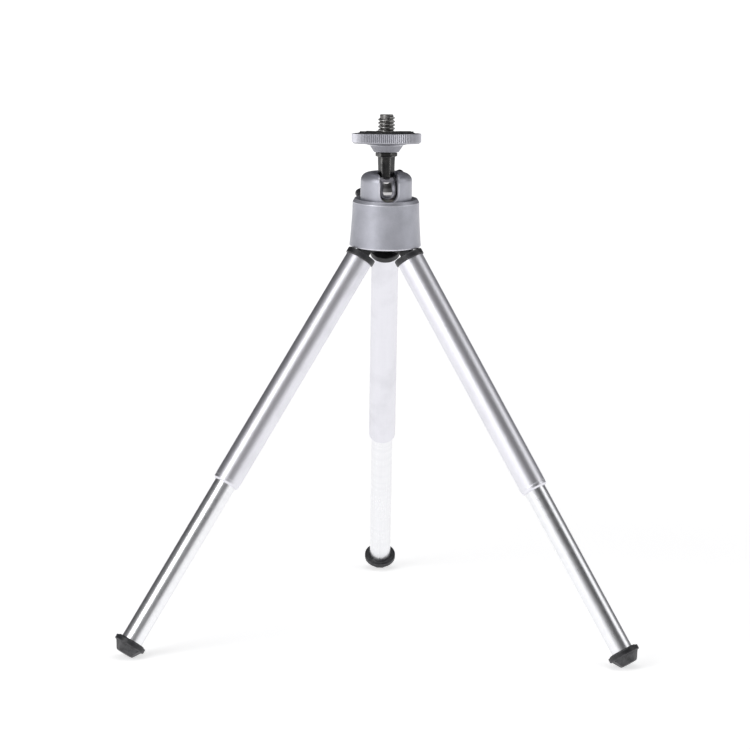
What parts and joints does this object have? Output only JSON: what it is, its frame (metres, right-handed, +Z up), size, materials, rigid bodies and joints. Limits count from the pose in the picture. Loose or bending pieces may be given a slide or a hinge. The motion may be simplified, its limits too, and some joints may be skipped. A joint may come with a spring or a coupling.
{
  "type": "tabletop tripod",
  "caption": "Small tabletop tripod with telescopic folding legs, a slotted ball head with a lock knob, and a knurled platform with a threaded camera stud.",
  "frame": {"origin": "on the ground plane, under the head's vertical axis", "axes": "+Z up along the head's axis, +Y over the rear leg; the other legs stand at 120 degrees each side, the head's slot faces -Y, and the stem leans 6 degrees back from upright at rest"},
  "size_m": [0.1884, 0.1649, 0.1921],
  "materials": {
    "silver_paint": "satin metallic",
    "satin_tube": "satin anodised",
    "bright_tube": "polished",
    "knurled_alloy": "knurled, satin",
    "chrome": "bright",
    "dark_steel": "polished, dark nickel",
    "steel": "nickel plated",
    "zinc": "plain",
    "rubber": "moulded, ribbed",
    "black_plastic": "semi-matt",
    "nylon": "natural"
  },
  "bodies": {
    "base": {"leg_hub": "black_plastic", "barrel": "silver_paint", "swivel_washer": "steel", "hinge_pin_right": "steel", "hinge_pin_rear": "steel", "hinge_pin_left": "steel"},
    "cup": {"head_cup": "silver_paint", "cup_base": "zinc", "ball_seat": "nylon", "centre_screw": "steel"},
    "shoe": {"clamp_shoe": "nylon"},
    "knob": {"lock_screw": "steel", "lock_knob": "black_plastic"},
    "ball": {"ball": "chrome"},
    "stem": {"ball_stem": "dark_steel", "camera_screw": "steel"},
    "pad": {"platform_pad": "rubber"},
    "disc": {"platform_disc": "knurled_alloy"},
    "leg_right": {"leg_plug_right": "black_plastic", "outer_tube_right": "satin_tube"},
    "lower_leg_right": {"inner_tube_right": "bright_tube", "slide_bush_right": "nylon", "foot_right": "black_plastic"},
    "leg_rear": {"leg_plug_rear": "black_plastic", "outer_tube_rear": "satin_tube"},
    "lower_leg_rear": {"inner_tube_rear": "bright_tube", "slide_bush_rear": "nylon", "foot_rear": "black_plastic"},
    "leg_left": {"leg_plug_left": "black_plastic", "outer_tube_left": "satin_tube"},
    "lower_leg_left": {"inner_tube_left": "bright_tube", "slide_bush_left": "nylon", "foot_left": "black_plastic"}
  },
  "joints": [
    {"name": "head_swivel", "type": "hinge", "parent": "base", "child": "cup", "pos_m": [0, 0, 0.16409], "axis": [0, 0, 1], "continuous": true},
    {"name": "lock_advance", "type": "slide", "parent": "cup", "child": "shoe", "axis": [-0.1305, 0.9914, 0], "range_m": [0, 0.0007]},
    {"name": "lock_knob_turn", "type": "hinge", "parent": "shoe", "child": "knob", "pos_m": [0, 0, 0.16409], "axis": [-0.1305, 0.9914, 0], "range_deg": [0, 360]},
    {"name": "ball_tilt", "type": "hinge", "parent": "cup", "child": "ball", "pos_m": [0, 0, 0.16409], "axis": [0.9914, 0.1305, 0], "range_deg": [-2.5, 93]},
    {"name": "stem_spin", "type": "hinge", "parent": "ball", "child": "stem", "pos_m": [0, 0, 0.16409], "axis": [-0.0136, 0.1036, 0.9945], "continuous": true},
    {"name": "platform_rise", "type": "slide", "parent": "stem", "child": "pad", "axis": [-0.0136, 0.1036, 0.9945], "range_m": [0, 0.00254]},
    {"name": "platform_turn", "type": "hinge", "parent": "pad", "child": "disc", "pos_m": [0, 0, 0.16409], "axis": [-0.0136, 0.1036, 0.9945], "range_deg": [0, 720]},
    {"name": "leg_fold_right", "type": "hinge", "parent": "base", "child": "leg_right", "pos_m": [0.00637, -0.00368, 0.14472], "axis": [0.5, 0.866, 0], "range_deg": [0, 34.3]},
    {"name": "leg_slide_right", "type": "slide", "parent": "leg_right", "child": "lower_leg_right", "axis": [-0.488, 0.2818, 0.8261], "range_m": [0, 0.0656]},
    {"name": "leg_fold_rear", "type": "hinge", "parent": "base", "child": "leg_rear", "pos_m": [0, 0.00736, 0.14472], "axis": [-1, 0, 0], "range_deg": [0, 34.3]},
    {"name": "leg_slide_rear", "type": "slide", "parent": "leg_rear", "child": "lower_leg_rear", "axis": [0, -0.5635, 0.8261], "range_m": [0, 0.0656]},
    {"name": "leg_fold_left", "type": "hinge", "parent": "base", "child": "leg_left", "pos_m": [-0.00637, -0.00368, 0.14472], "axis": [0.5, -0.866, 0], "range_deg": [0, 34.3]},
    {"name": "leg_slide_left", "type": "slide", "parent": "leg_left", "child": "lower_leg_left", "axis": [0.488, 0.2818, 0.8261], "range_m": [0, 0.0656]}
  ],
  "couplings": [
    {"joint": "platform_turn", "follows": "platform_rise", "rad_per_m": 4947.4},
    {"joint": "lock_knob_turn", "follows": "lock_advance", "rad_per_m": 8976}
  ]
}
